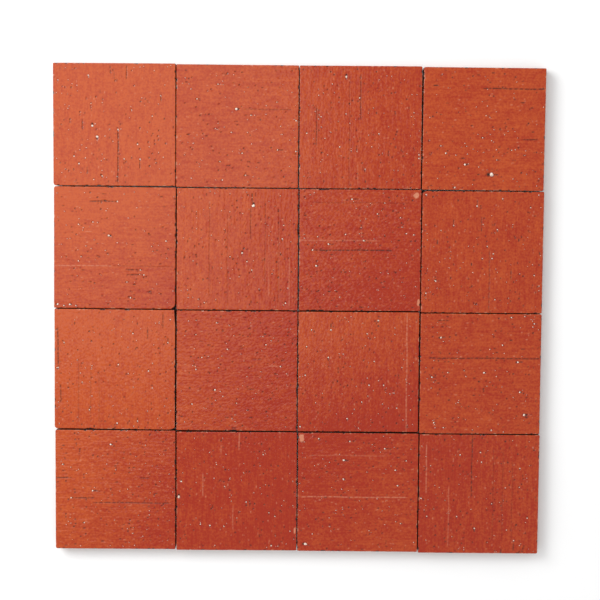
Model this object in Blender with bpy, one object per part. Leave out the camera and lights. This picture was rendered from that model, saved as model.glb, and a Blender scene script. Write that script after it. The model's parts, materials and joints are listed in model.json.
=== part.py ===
"""A field of square glazed clay tiles laid dry in four rows of four.

The tiles lie face up on the ground plane, z = 0, with the middle of the field
at the origin. Rows are lettered a to d from +Y to -Y and columns are numbered
1 to 4 from -X to +X. Each tile is a fired clay body under a coat of slip and
glaze, and no two tiles are quite the same size or lie quite square.
"""

import math
import random

import bmesh
import bpy
from mathutils import Matrix, Vector

# Driving dimensions, in metres.
TILE_SIDE = 0.100
TILE_THICKNESS = 0.012
COAT_THICKNESS = 0.0008
JOINT_WIDTH = 0.0008
CORNER_RADIUS = 0.0008
ARRIS_RADIUS = 0.0006
FOOT_BEVEL = 0.0005

# Segments in each rounding.
CORNER_SEGMENTS = 3
ARRIS_SEGMENTS = 3

# Hand-cut tiles laid by hand are never quite alike: the most that a side
# strays from nominal, that a tile lies off its place, and that a side leans
# over its own length.
SIZE_STRAY = 0.0002
PLACE_STRAY = 0.00015
LEAN_STRAY = 0.0003
LAY_SEED = "laid dry"

# Each row was started a little further to the right than the one beyond it,
# and the columns step down towards the right.
ROW_SHIFT = {"a": -0.0005, "b": 0.0, "c": 0.0, "d": 0.0005}
COLUMN_SHIFT = {"1": 0.0005, "2": 0.0, "3": 0.0, "4": -0.0005}

TILES = [row + column for row in ROW_SHIFT for column in COLUMN_SHIFT]

# Corners as signs along X and Y of the tile's own middle.
FAR_LEFT = (-1, 1)
FAR_RIGHT = (1, 1)
NEAR_LEFT = (-1, -1)
NEAR_RIGHT = (1, -1)

# Upright corners worn rounder than the rest: tile, corner, radius.
WORN_CORNERS = (
    ("a1", NEAR_LEFT, 0.0022),
    ("a3", FAR_RIGHT, 0.0012),
    ("a4", FAR_LEFT, 0.0014),
    ("b1", FAR_LEFT, 0.0018),
    ("c1", NEAR_LEFT, 0.0024),
    ("c4", FAR_RIGHT, 0.0015),
    ("d1", FAR_LEFT, 0.0014),
    ("d1", NEAR_LEFT, 0.0016),
    ("d4", NEAR_RIGHT, 0.0012),
)

# Corners knocked off by a steep break: tile, corner, reach along X, reach
# along Y, depth below the face.
CHIPS = (
    ("a4", NEAR_RIGHT, 0.0016, 0.0012, 0.0030),
    ("b1", NEAR_RIGHT, 0.0038, 0.0030, 0.0090),
    ("b4", FAR_LEFT, 0.0030, 0.0018, 0.0080),
    ("c1", FAR_RIGHT, 0.0009, 0.0140, 0.0090),
    ("c1", NEAR_RIGHT, 0.0034, 0.0017, 0.0060),
)

# Linear colours of the fired surfaces.
CLAY_COLOUR = (0.46, 0.15, 0.07)
CLAY_ROUGHNESS = 0.85
GLAZE_ROUGHNESS = 0.22
PALE_ORANGE = (0.55, 0.11, 0.04)
BRICK_RED = (0.50, 0.08, 0.03)
DEEP_RED = (0.42, 0.05, 0.015)

# Tiles that fired paler or deeper than the rest.
FIRED_PALE = ("a1", "a2", "b1", "b2", "c1")
FIRED_DEEP = ("b3", "c3", "d2", "d3", "d4")


def glaze_colour(tile):
    if tile in FIRED_PALE:
        return PALE_ORANGE
    if tile in FIRED_DEEP:
        return DEEP_RED
    return BRICK_RED


def stray(tile, what, most):
    """How far one thing about a tile is off, the same on every run."""
    return random.Random(f"{LAY_SEED} {tile} {what}").uniform(-most, most)


def tile_size(tile):
    width = TILE_SIDE + stray(tile, "width", SIZE_STRAY)
    depth = TILE_SIDE + stray(tile, "depth", SIZE_STRAY)
    return width, depth


def tile_placement(tile):
    """Middle of the tile's back face and its turn about Z."""
    pitch = TILE_SIDE + JOINT_WIDTH
    row, column = tile
    along = (int(column) - 2.5) * pitch
    across = (1.5 - "abcd".index(row)) * pitch
    x = along + ROW_SHIFT[row] + stray(tile, "x", PLACE_STRAY)
    y = across + COLUMN_SHIFT[column] + stray(tile, "y", PLACE_STRAY)
    turn = math.atan2(stray(tile, "lean", LEAN_STRAY), TILE_SIDE)
    return Vector((x, y, 0.0)), turn


def corner_radius(tile, corner):
    for worn_tile, worn_corner, radius in WORN_CORNERS:
        if worn_tile == tile and worn_corner == corner:
            return radius
    return CORNER_RADIUS


def is_upright(edge):
    run = edge.verts[0].co - edge.verts[1].co
    return abs(run.z) > max(abs(run.x), abs(run.y))


def slab(tile, low, high):
    """Block with the tile's outline between two heights."""
    width, depth = tile_size(tile)
    mesh = bmesh.new()
    size = Vector((width, depth, high - low))
    middle = Vector((0.0, 0.0, (low + high) / 2))
    matrix = Matrix.Translation(middle) @ Matrix.Diagonal(size).to_4x4()
    bmesh.ops.create_cube(mesh, size=1.0, matrix=matrix)
    # The coat's back and the body's face share one exact height.
    for vert in mesh.verts:
        vert.co.z = low if vert.co.z < middle.z else high
    for corner in (FAR_LEFT, FAR_RIGHT, NEAR_LEFT, NEAR_RIGHT):
        round_corner(mesh, corner, corner_radius(tile, corner))
    return mesh


def round_corner(mesh, corner, radius):
    upright = [edge for edge in mesh.edges if is_upright(edge)]

    def reach(edge):
        middle = (edge.verts[0].co + edge.verts[1].co) / 2
        return middle.x * corner[0] + middle.y * corner[1]

    outermost = max(upright, key=reach)
    bmesh.ops.bevel(
        mesh,
        geom=[outermost],
        offset=radius,
        offset_type="OFFSET",
        segments=CORNER_SEGMENTS,
        profile=0.5,
        affect="EDGES",
        material=-1,
    )


def rim_edges(mesh, height):
    """Edges around the flat face at a height."""
    rim = []
    for edge in mesh.edges:
        level = all(abs(vert.co.z - height) < 1e-7 for vert in edge.verts)
        if level:
            rim.append(edge)
    return rim


def round_rim(mesh, height, radius, segments):
    bmesh.ops.bevel(
        mesh,
        geom=rim_edges(mesh, height),
        offset=radius,
        offset_type="OFFSET",
        segments=segments,
        profile=0.5,
        affect="EDGES",
        clamp_overlap=True,
        material=-1,
    )


def break_corner(mesh, tile, corner, reach_x, reach_y, depth):
    """Cut a slanting plane across one upper corner."""
    width, length = tile_size(tile)
    x = corner[0] * width / 2
    y = corner[1] * length / 2
    along_x = Vector((x - corner[0] * reach_x, y, TILE_THICKNESS))
    along_y = Vector((x, y - corner[1] * reach_y, TILE_THICKNESS))
    below = Vector((x, y, TILE_THICKNESS - depth))
    normal = (along_y - along_x).cross(below - along_x).normalized()
    if normal.z < 0:
        normal.negate()
    cut = bmesh.ops.bisect_plane(
        mesh,
        geom=mesh.verts[:] + mesh.edges[:] + mesh.faces[:],
        dist=1e-7,
        plane_co=below,
        plane_no=normal,
        clear_outer=True,
    )
    border = [item for item in cut["geom_cut"] if isinstance(item, bmesh.types.BMEdge)]
    if border:
        bmesh.ops.contextual_create(mesh, geom=border)


def break_corners(mesh, tile):
    for chipped, corner, reach_x, reach_y, depth in CHIPS:
        if chipped == tile:
            break_corner(mesh, tile, corner, reach_x, reach_y, depth)


def make_material(name, colour, roughness):
    material = bpy.data.materials.new(name)
    material.use_nodes = True
    shader = material.node_tree.nodes["Principled BSDF"]
    shader.inputs["Base Color"].default_value = (*colour, 1.0)
    shader.inputs["Roughness"].default_value = roughness
    shader.inputs["Metallic"].default_value = 0.0
    material.diffuse_color = (*colour, 1.0)
    return material


def place(mesh, name, tile, material, collection):
    """Turn the working mesh into a named object lying in the field."""
    bmesh.ops.recalc_face_normals(mesh, faces=mesh.faces)
    data = bpy.data.meshes.new(name)
    mesh.to_mesh(data)
    mesh.free()
    data.materials.append(material)
    obj = bpy.data.objects.new(name, data)
    obj.location, obj.rotation_euler.z = tile_placement(tile)
    collection.objects.link(obj)
    return obj


def make_body(tile, material, collection):
    """Fired clay body, flat above and below, with its foot eased."""
    mesh = slab(tile, 0.0, TILE_THICKNESS - COAT_THICKNESS)
    round_rim(mesh, 0.0, FOOT_BEVEL, 1)
    break_corners(mesh, tile)
    return place(mesh, f"tile_{tile}_body", tile, material, collection)


def make_glaze(tile, material, collection):
    """Coat of slip and glaze on the body's face, with a rounded arris."""
    mesh = slab(tile, TILE_THICKNESS - COAT_THICKNESS, TILE_THICKNESS)
    round_rim(mesh, TILE_THICKNESS, ARRIS_RADIUS, ARRIS_SEGMENTS)
    break_corners(mesh, tile)
    return place(mesh, f"tile_{tile}_glaze", tile, material, collection)


def main():
    for obj in list(bpy.data.objects):
        bpy.data.objects.remove(obj, do_unlink=True)
    field = bpy.data.collections.new("glazed_tile_field")
    bpy.context.scene.collection.children.link(field)
    clay = make_material("clay", CLAY_COLOUR, CLAY_ROUGHNESS)
    for tile in TILES:
        glaze = make_material(f"glaze_{tile}", glaze_colour(tile), GLAZE_ROUGHNESS)
        make_body(tile, clay, field)
        make_glaze(tile, glaze, field)


main()
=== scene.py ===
# %% [markdown]
# # A field of glazed clay tiles
#
# The object is a square field of sixteen small clay tiles laid dry, edge to
# edge, on a flat floor. Each tile is a slab of fired clay with a glossy red
# coat of slip and glaze on its face. The clay was cut with a wire, so every
# face carries the marks of that cut: long drag lines, fine corrugations, and
# hard pale grains (grog, crushed fired clay mixed into the body) that the
# wire tore loose, each with a short dark furrow behind it. The maker turned
# every other tile by a quarter, so the drag lines alternate like the squares
# of a chessboard.
#
# The imported model gives the slabs their size and place. This lesson gives
# them their surface: real relief in the mesh for everything a fingertip would
# feel, and materials for colour and gloss, with painted shade in furrows, pits
# and joints and painted glints on pale lines.

# %% Load the imported frame
import json
import math

import bmesh
import bpy
import numpy as np
from mathutils import Matrix, Vector

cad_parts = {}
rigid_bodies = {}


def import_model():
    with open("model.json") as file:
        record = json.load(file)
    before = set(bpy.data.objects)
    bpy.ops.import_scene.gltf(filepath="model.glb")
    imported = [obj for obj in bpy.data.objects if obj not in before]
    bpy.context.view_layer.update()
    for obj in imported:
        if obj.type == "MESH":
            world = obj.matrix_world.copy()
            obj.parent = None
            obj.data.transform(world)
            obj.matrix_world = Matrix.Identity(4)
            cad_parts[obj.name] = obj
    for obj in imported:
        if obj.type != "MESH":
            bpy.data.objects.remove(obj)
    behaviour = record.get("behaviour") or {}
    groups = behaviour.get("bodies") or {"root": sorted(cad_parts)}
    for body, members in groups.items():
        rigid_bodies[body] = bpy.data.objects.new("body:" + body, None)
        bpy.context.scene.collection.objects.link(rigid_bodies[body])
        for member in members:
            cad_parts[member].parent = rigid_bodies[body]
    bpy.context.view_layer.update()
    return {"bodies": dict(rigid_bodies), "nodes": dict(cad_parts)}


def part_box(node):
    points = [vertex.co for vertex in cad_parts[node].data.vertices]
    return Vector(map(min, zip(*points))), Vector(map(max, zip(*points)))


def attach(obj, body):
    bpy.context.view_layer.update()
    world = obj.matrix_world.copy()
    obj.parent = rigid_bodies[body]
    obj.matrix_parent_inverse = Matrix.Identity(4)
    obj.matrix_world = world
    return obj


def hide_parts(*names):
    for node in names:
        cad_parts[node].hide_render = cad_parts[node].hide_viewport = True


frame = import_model()
TILES = sorted(body.removeprefix("tile_") for body in frame["bodies"])
print("tiles:", TILES)

# %% [markdown]
# ## Camera
#
# The field is seen from almost straight above, from a little beyond its far
# edge, so that the far tiles look a touch larger than the near ones. A long
# lens keeps the edges nearly parallel. Building the camera's matrix from a
# place, a tilt and a roll keeps those three decisions apart and easy to turn.

# %% Camera
CAMERA_PLACE = Vector((0.0015, 0.1137, 1.3175))
CAMERA_TILT = math.radians(-4.58)
CAMERA_ROLL = math.radians(0.52)
CAMERA_ANGLE = math.radians(21.4)

camera_data = bpy.data.cameras.new("camera")
camera_data.angle = CAMERA_ANGLE
camera = bpy.data.objects.new("camera", camera_data)
camera.matrix_world = (
    Matrix.Translation(CAMERA_PLACE)
    @ Matrix.Rotation(CAMERA_TILT, 4, "X")
    @ Matrix.Rotation(CAMERA_ROLL, 4, "Z")
)
bpy.context.scene.collection.objects.link(camera)
bpy.context.scene.camera = camera
bpy.context.scene.view_settings.view_transform = "Standard"
print("camera at", tuple(camera.location))

# %% [markdown]
# ## Floor and light
#
# A pale floor under an even sky is the plainest studio there is. Gloss needs
# something brighter to mirror, though: under an even sky alone a glaze looks
# like matt paint. A large soft panel overhead and a smaller one low at the
# far left could be traded for a picture of a room, but two plain rectangles
# say exactly where the light is, and they look right from every side.

# %% Floor, sky and panels
FLOOR_HALF = 6.0
FLOOR_HEIGHT = -0.0004
FLOOR_GREY = 0.9
FLOOR_ROUGHNESS = 0.9
SKY_STRENGTH = 0.75


def stage_object(name, mesh):
    """Finish a bmesh as part of the studio, not of the object."""
    data = bpy.data.meshes.new(name)
    mesh.to_mesh(data)
    mesh.free()
    obj = bpy.data.objects.new(name, data)
    bpy.context.scene.collection.objects.link(obj)
    return obj


def plain_material(name, colour, roughness):
    material = bpy.data.materials.new(name)
    material.use_nodes = True
    shader = material.node_tree.nodes["Principled BSDF"]
    shader.inputs["Base Color"].default_value = (*colour, 1.0)
    shader.inputs["Roughness"].default_value = roughness
    shader.inputs["Specular IOR Level"].default_value = 0.0
    return material


def floor_sheet(name, half, height, grey):
    mesh = bmesh.new()
    bmesh.ops.create_grid(mesh, x_segments=1, y_segments=1, size=half)
    bmesh.ops.translate(mesh, verts=mesh.verts, vec=(0, 0, height))
    sheet = stage_object(name, mesh)
    sheet.data.materials.append(plain_material(name, (grey, grey, grey), FLOOR_ROUGHNESS))


floor_sheet("floor", FLOOR_HALF, FLOOR_HEIGHT, FLOOR_GREY)

world = bpy.data.worlds.new("sky")
world.use_nodes = True
world.node_tree.nodes["Background"].inputs["Color"].default_value = (1, 1, 1, 1)
world.node_tree.nodes["Background"].inputs["Strength"].default_value = SKY_STRENGTH
bpy.context.scene.world = world


def panel(name, place, aim, width, height, radiance):
    """Rectangular soft light."""
    data = bpy.data.lights.new(name, "AREA")
    data.shape = "RECTANGLE"
    data.size = width
    data.size_y = height
    data.energy = radiance * width * height * math.pi
    obj = bpy.data.objects.new(name, data)
    obj.visible_camera = False
    obj.location = place
    look = Vector(aim) - Vector(place)
    obj.rotation_euler = look.to_track_quat("-Z", "Y").to_euler()
    bpy.context.scene.collection.objects.link(obj)
    return obj


panel("overhead_panel", (-1.0, 0.8, 1.9), (-1.0, 0.8, 0.0), 2.1, 2.2, 0.95)
panel("far_left_panel", (-1.0, 0.7, 1.1), (0.0, 0.0, 0.0), 0.9, 0.9, 6.0)

print("stage: floor, sky, two soft panels")

# %% [markdown]
# ## Where each tile lies
#
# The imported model's slabs are turned by a fraction of a degree, so a tile's
# own width and depth can't be read from its box. The tightest rectangle round
# any outline shares a side with it, so each long edge of the slab is tried as
# the turn and the one giving the smallest rectangle is kept.

# %% Measure each slab


def measure_tile(tile):
    """Middle, turn, width and depth of a tile, from its body's slab."""
    data = frame["nodes"][f"tile_{tile}_body"].data
    points = np.array([vert.co for vert in data.vertices])[:, :2]
    quarter = math.pi / 2
    best = None
    for edge in data.edges:
        a, b = (points[i] for i in edge.vertices)
        if math.dist(a, b) < 0.02:
            continue
        turn = math.atan2(b[1] - a[1], b[0] - a[0])
        turn = (turn + quarter / 2) % quarter - quarter / 2
        c, s = math.cos(turn), math.sin(turn)
        back = np.array([[c, s], [-s, c]])
        flat = points @ back.T
        low, high = flat.min(axis=0), flat.max(axis=0)
        area = float(np.prod(high - low))
        if best is None or area < best["area"] - 1e-12:
            best = {
                "area": area,
                "middle": (low + high) / 2 @ back,
                "turn": turn,
                "width": float(high[0] - low[0]),
                "depth": float(high[1] - low[1]),
            }
    return best


LIE = {tile: measure_tile(tile) for tile in TILES}
FACE_HEIGHT = float(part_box("tile_a1_glaze")[1][2])
COAT_BACK = float(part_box("tile_a1_glaze")[0][2])
for tile, lie in LIE.items():
    print(tile, {key: np.round(value, 5).tolist() for key, value in lie.items()})

# %% [markdown]
# ## Noise on a mesh
#
# Nothing on fired clay repeats, so most of the relief is noise. Gradient
# noise picks a random slope at each point of a lattice and blends between
# them, which gives soft bumps about as wide as a lattice cell. Stretching the
# cell along the way the wire was drawn turns bumps into corrugations. Each
# tile draws from its own seeded generator, so the field comes out the same
# every time.

# %% Gradient noise


def ripple(rng, x, y, cell_x, cell_y, turn=0.0):
    """Gradient noise between about -1 and 1 at points x, y (millimetres)."""
    across = (x * math.cos(turn) + y * math.sin(turn)) / cell_x
    along = (y * math.cos(turn) - x * math.sin(turn)) / cell_y
    across = across - np.floor(across.min())
    along = along - np.floor(along.min())
    i, j = across.astype(int), along.astype(int)
    fx, fy = across - i, along - j
    heading = rng.uniform(0, 2 * math.pi, (i.max() + 2, j.max() + 2))
    slope_x, slope_y = np.cos(heading), np.sin(heading)
    blend_x = fx * fx * fx * (fx * (fx * 6 - 15) + 10)
    blend_y = fy * fy * fy * (fy * (fy * 6 - 15) + 10)

    def corner(di, dj):
        return slope_x[i + di, j + dj] * (fx - di) + slope_y[i + di, j + dj] * (fy - dj)

    near = corner(0, 0) * (1 - blend_x) + corner(1, 0) * blend_x
    far = corner(0, 1) * (1 - blend_x) + corner(1, 1) * blend_x
    return 1.5 * (near * (1 - blend_y) + far * blend_y)


def smooth(low, high, value):
    """Ease from 0 below low to 1 above high."""
    t = np.clip((value - low) / (high - low), 0.0, 1.0)
    return t * t * (3 - 2 * t)


# %% [markdown]
# ## What marks each tile
#
# The small marks below are random, but the eye finds the large ones, so those
# are given tile by tile, as a potter's inspector would list them.
# Every place is a fraction of the tile's sides: u runs right and v runs
# towards the viewer from the tile's far left corner.
#
# - `drag` is the way the wire went: "v" down the tile, "u" across it.
# - `lines` are long drag lines: place across the drag, where the line starts
#   and ends along it, and its strength. Above zero it is a furrow darkened with
#   painted shade, below zero a pale raised one with a painted glint.
# - `grains` are large pale grains: u, v, width in millimetres, and the length
#   of the furrow torn behind it, positive to the right or towards the viewer.
# - `pits` are holes and dashes darkened with painted shade: u, v and length
#   in millimetres.
# - the firing and sheen entry is how pale the glaze shows, partly how it fired
#   and partly painted sheen and painted falloff of the light, from 0 for deep
#   red to 1 for pale orange, then how much paler it gets to the right and
#   towards the viewer.
# - `set` is how the tile lies or warped: tilt in degrees about X and about Y,
#   then dishing in millimetres at the rim.
# - `feel` is the strength of corrugation, of orange peel and of tearing.

# %% The marks, tile by tile
MARKS = {
    "a1": {
        "drag": "v",
        "lines": [(.53, .55, .99, 1), (.47, .01, .10, .7), (.50, .06, .16, .4), (.60, .01, .14, .7),
                  (.24, .45, .55, .8), (.88, .23, .32, .8), (.28, .84, .91, .7)],
        "grains": [(.53, .54, 1.5, 0), (.71, .78, 1.4, 9), (.29, .10, 1.1, 0), (.04, .14, 1.0, 0),
                   (.31, .33, 1.1, 0), (.32, .51, 2.4, 0), (.36, .60, 2.4, 0), (.69, .66, 1.5, 0),
                   (.81, .43, 1.0, 3), (.17, .76, 1.2, 0), (.21, .82, 1.3, 3), (.40, .92, 1.5, 0),
                   (.33, .95, 1.0, 0), (.64, .38, 1.1, 2), (.58, .78, 1.1, 0)],
        "pits": [(.15, .20, 1.5), (.86, .62, 2)],
        "fire_and_sheen": (0.8, 0, 0), "set": (.1, -.2, .1), "feel": (.5, .8, .5),
    },
    "a2": {
        "drag": "u",
        "lines": [(.36, .53, .95, .45)],
        "grains": [(.49, .36, 2.4, 3), (.17, .28, 1.2, 3), (.34, .16, 1.1, 2), (.32, .52, 1.1, 2),
                   (.45, .55, 1.2, 0), (.61, .41, 1.1, 0), (.36, .79, 1.3, 2), (.54, .72, 1.1, 2),
                   (.83, .69, 1.4, 6), (.98, .70, 1.3, 0), (.57, .90, 1.4, 3), (.38, .94, 1.2, 0),
                   (.82, .30, 1.1, 2), (.98, .45, 1.2, 0)],
        "pits": [(.10, .57, 3), (.43, .82, 4), (.49, .46, 3)],
        "fire_and_sheen": (0.6, 0, 0), "set": (.0, .1, .1), "feel": (.4, .9, .6),
    },
    "a3": {
        "drag": "v",
        "lines": [(.14, .32, .66, .7), (.41, .07, .98, .3), (.50, .06, .44, .7), (.48, .78, .98, -.5)],
        "grains": [(.38, .09, 2.4, 2), (.49, .26, 1.3, 2), (.06, .55, 1.2, 0), (.33, .66, 1.2, 0),
                   (.65, .55, 1.2, 0), (.54, .84, 1.2, 3), (.16, .40, 1.1, 2), (.38, .39, 1.1, 0),
                   (.98, .72, 1.1, 0), (.98, .75, 1.2, 0)],
        "pits": [(.47, .67, 5), (.73, .71, 5)],
        "fire_and_sheen": (0.4, -0.1, 0), "set": (.0, .2, .0), "feel": (.8, .8, .8),
    },
    "a4": {
        "drag": "u",
        "lines": [(.17, .48, 1.0, 1), (.58, .80, .95, .9)],
        "grains": [(.57, .87, 4.2, 6), (.35, .79, 2.2, 3), (.15, .64, 1.3, 2), (.19, .70, 1.3, 0),
                   (.49, .57, 1.3, 2), (.36, .64, 1.1, 2), (.61, .75, 1.2, 3), (.73, .67, 1.2, 0),
                   (.27, .98, 1.8, 0)],
        "pits": [(.10, .15, 5), (.33, .74, 4), (.46, .87, 3), (.81, .28, 4), (.9, .52, 3)],
        "fire_and_sheen": (0.5, 0, 0), "set": (.2, -.3, .0), "feel": (.5, .6, .6),
    },
    "b1": {
        "drag": "u",
        "lines": [(.12, .29, .51, 1), (.06, .39, .43, .7), (.65, .0, .48, -.8), (.65, .48, 1.0, .3),
                  (.68, .59, .70, .9), (.72, .59, .73, .9), (.37, .25, .32, -.7)],
        "grains": [(.52, .12, 1.5, 0), (.45, .40, 2.3, 0), (.32, .29, 1.2, 0), (.20, .61, 1.2, 0),
                   (.20, .31, 1.2, 0), (.92, .44, 1.2, 0), (.60, .78, 1.3, 2), (.63, .91, 1.4, 0),
                   (.71, .68, 1.3, 0), (.74, .72, 1.3, 0), (.03, .97, 1.6, 0), (.08, .98, 1.3, 0),
                   (.13, .97, 1.8, 0), (.18, .98, 1.2, 0)],
        "pits": [(.41, .11, 5), (.78, .86, 3), (.66, .80, 3)],
        "fire_and_sheen": (0.7, -0.1, -0.2), "set": (.1, .0, .1), "feel": (.5, .9, .5),
    },
    "b2": {
        "drag": "v",
        "lines": [(.62, .03, .12, 1), (.61, .15, .42, .6), (.93, .56, .99, -.6), (.27, .1, .9, .3),
                  (.42, .2, .95, .25), (.73, .1, .8, .3), (.76, .3, .9, -.3), (.84, .2, .95, .3)],
        "grains": [(.63, .14, 2.8, 0), (.54, .53, 1.8, 3), (.58, .60, 1.3, 0), (.44, .56, 1.2, 0),
                   (.62, .67, 1.2, 2), (.87, .41, 1.2, 2), (.88, .30, 1.1, 0), (.90, .94, 1.4, 0),
                   (.23, .94, 1.2, 0)],
        "pits": [(.15, .48, 3), (.65, .05, 3)],
        "fire_and_sheen": (0.5, -0.2, -0.1), "set": (.0, .2, .0), "feel": (1.4, 1.0, 1.0),
    },
    "b3": {
        "drag": "u",
        "lines": [(.50, .11, .77, 1), (.42, .0, .67, -.6), (.11, .1, .9, .3)],
        "grains": [(.11, .50, 1.4, 0), (.64, .20, 1.2, 2), (.43, .08, 1.5, 6), (.70, .11, 1.2, 0),
                   (.83, .23, 1.2, 2), (.15, .39, 1.2, 0), (.38, .37, 1.2, 0), (.88, .36, 1.2, 0),
                   (.94, .37, 1.2, 0), (.24, .45, 1.5, 5), (.14, .63, 1.9, 0), (.53, .42, 1.6, 0)],
        "pits": [(.38, .68, 2), (.25, .84, 3), (.31, .84, 2), (.52, .97, 3), (.94, .97, 2)],
        "fire_and_sheen": (0.2, -0.1, -0.1), "set": (.0, .0, .1), "feel": (1.0, 1.4, 1.2),
    },
    "b4": {
        "drag": "v",
        "lines": [(.56, .48, .99, .5), (.49, .2, .35, .6), (.74, .63, .73, .8)],
        "grains": [(.45, .12, 1.4, -5), (.26, .28, 1.3, -6), (.54, .45, 1.3, 0), (.50, .55, 1.3, 0),
                   (.58, .55, 1.2, 0), (.59, .51, 1.2, 0), (.62, .3125, 1.2, 2), (.66, .06, 1.2, 2),
                   (.89, .13, 1.3, 0), (.03, .03, 1.5, 0), (.12, .74, 1.4, 0), (.04, .84, 1.3, 0),
                   (.61, .89, 1.2, 0), (.93, .6875, 1.2, 2)],
        "pits": [(.13, .42, 4), (.41, .60, 3), (.33, .78, 2), (.42, .78, 2)],
        "fire_and_sheen": (0.4, 0, 0), "set": (.1, .5, .0), "feel": (.9, .8, .6),
    },
    "c1": {
        "drag": "v",
        "lines": [(.03, .15, .49, .9), (.05, .62, .79, .8), (.77, .14, .25, .8), (.90, .02, .16, .7),
                  (.2, .4, .95, .3), (.3, .5, .95, .3), (.37, .5, .97, .3)],
        "grains": [(.03, .49, 1.5, 0), (.08, .28, 1.2, 0), (.65, .20, 1.3, 0), (.94, .27, 1.3, -4),
                   (.53, .46, 1.2, 2), (.78, .51, 1.3, 0), (.23, .61, 1.2, 0), (.29, .84, 1.2, 2),
                   (.69, .93, 1.3, -3), (.52, .95, 1.4, 0)],
        "pits": [(.17, .12, 2), (.33, .98, 3), (.50, .98, 5), (.70, .98, 2)],
        "fire_and_sheen": (0.8, -0.1, -0.1), "set": (.2, -1.0, .1), "feel": (1.3, .8, .7),
    },
    "c2": {
        "drag": "u",
        "lines": [(.46, .76, .85, -.8), (.40, .62, .72, .6), (.65, .58, .65, .8)],
        "grains": [(.86, .46, 1.4, 0), (.33, .10, 1.3, 2), (.16, .20, 1.3, 0), (.42, .32, 1.2, 2),
                   (.21, .39, 1.2, 0), (.16, .49, 1.3, 0), (.32, .66, 1.8, 0), (.13, .78, 1.3, 0),
                   (.50, .77, 1.3, 2), (.74, .28, 1.3, 0)],
        "pits": [(.73, .19, 3), (.42, .89, 3), (.62, .89, 3), (.91, .89, 2), (.48, .98, 4)],
        "fire_and_sheen": (0.3, -0.2, 0), "set": (-.2, .1, .0), "feel": (.9, 1.6, .9),
    },
    "c3": {
        "drag": "v",
        "lines": [(.90, .0, 1.0, -.8), (.27, .09, .14, .9)],
        "grains": [(.66, .07, 1.7, 0), (.57, .18, 1.2, 0), (.11, .15, 1.3, 0), (.07, .29, 1.3, 0),
                   (.25, .38, 1.6, 3), (.06, .53, 1.3, 0), (.53, .75, 1.2, 2), (.41, .89, 1.3, 2),
                   (.59, .61, 1.2, 0), (.71, .61, 1.2, 2), (.58, .70, 1.2, 0), (.63, .41, 1.1, 0),
                   (.86, .46, 1.1, 2), (.82, .80, 1.1, 0), (.02, .96, 1.5, 0), (.27, .15, 1.3, 0)],
        "pits": [],
        "fire_and_sheen": (0.3, -0.1, -0.3), "set": (.1, .0, .1), "feel": (.7, .8, .7),
    },
    "c4": {
        "drag": "u",
        "lines": [(.37, .06, 1.0, .9), (.06, .13, .24, .8)],
        "grains": [(.17, .20, 2.0, 4), (.75, .03, 1.4, 2), (.86, .02, 1.3, 0), (.94, .08, 1.3, 2),
                   (.68, .26, 1.3, 0), (.81, .40, 1.8, 4), (.53, .49, 1.6, 2), (.23, .49, 1.3, 2),
                   (.10, .53, 1.4, 4), (.83, .65, 1.8, 0), (.87, .84, 2.8, 0), (.12, .91, 1.3, 2),
                   (.2, .95, 1.2, 2), (.6, .97, 1.4, 0)],
        "pits": [(.75, .22, 3), (.63, .32, 3), (.89, .86, 3)],
        "fire_and_sheen": (0.4, 0, 0), "set": (.2, .5, .0), "feel": (0.8, 1.3, 1.0),
    },
    "d1": {
        "drag": "u",
        "lines": [(.40, .0, .14, .9), (.57, .13, .33, .9), (.61, .31, .97, .8), (.51, .31, .37, .8),
                  (.40, .70, .79, .9)],
        "grains": [(.13, .57, 1.4, 0), (.31, .51, 1.4, 4), (.46, .12, 1.8, 0), (.06, .29, 1.5, 0),
                   (.24, .78, 1.4, 0)],
        "pits": [(.2, .2, 2), (.5, .3, 2)],
        "fire_and_sheen": (0.5, -0.3, -0.1), "set": (.0, .2, -.1), "feel": (1.6, 1.4, 1.6),
    },
    "d2": {
        "drag": "v",
        "lines": [(.52, .0, .16, -.8), (.37, .1, .2, -.6), (.47, .62, .83, -.6), (.22, .34, .55, -.7)],
        "grains": [(.02, .55, 2.6, 0), (.40, .46, 1.2, 0), (.58, .59, 1.2, 0), (.72, .19, 1.2, 0),
                   (.77, .68, 1.2, 2), (.82, .71, 1.2, 0), (.28, .79, 1.4, 0), (.20, .78, 1.2, 0),
                   (.79, .96, 1.4, 0), (.04, .42, 1.5, 0)],
        "pits": [(.52, .68, 3), (.30, .63, 3), (.29, .65, 2)],
        "fire_and_sheen": (0.1, -0.1, 0), "set": (.0, .1, .0), "feel": (1.0, .7, .9),
    },
    "d3": {
        "drag": "u",
        "lines": [(.54, .01, .92, -.9), (.19, .09, .75, -.4)],
        "grains": [(.72, .13, 1.5, 6), (.17, .05, 1.4, 0), (.43, .07, 1.4, 0), (.38, .23, 2.0, 5),
                   (.90, .23, 1.4, 0), (.81, .31, 1.4, 0), (.83, .44, 1.3, 0), (.86, .76, 1.4, 0),
                   (.07, .94, 2.8, 0), (.38, .39, 1.6, 0)],
        "pits": [(.2, .3, 2)],
        "fire_and_sheen": (0.2, 0.1, 0.1), "set": (.1, -.1, .0), "feel": (.7, .9, 1.2),
    },
    "d4": {
        "drag": "v",
        "lines": [(.06, .08, .5, -.8), (.44, .0, .53, .8), (.25, .43, .95, -.5), (.80, .91, .98, .9),
                  (.62, .1, .9, .3), (.7, .1, .9, .3), (.78, .2, .9, .3)],
        "grains": [(.51, .15, 1.3, 0), (.52, .23, 1.2, 0), (.34, .17, 1.2, 0), (.84, .28, 1.3, 2),
                   (.84, .44, 1.2, 0), (.61, .58, 1.3, 0), (.91, .70, 1.4, 0), (.07, .69, 1.3, 0),
                   (.32, .69, 1.3, 0), (.47, .79, 1.8, 3), (.02, .54, 1.3, 0), (.80, .89, 1.3, 0)],
        "pits": [(.34, .26, 2)],
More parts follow.
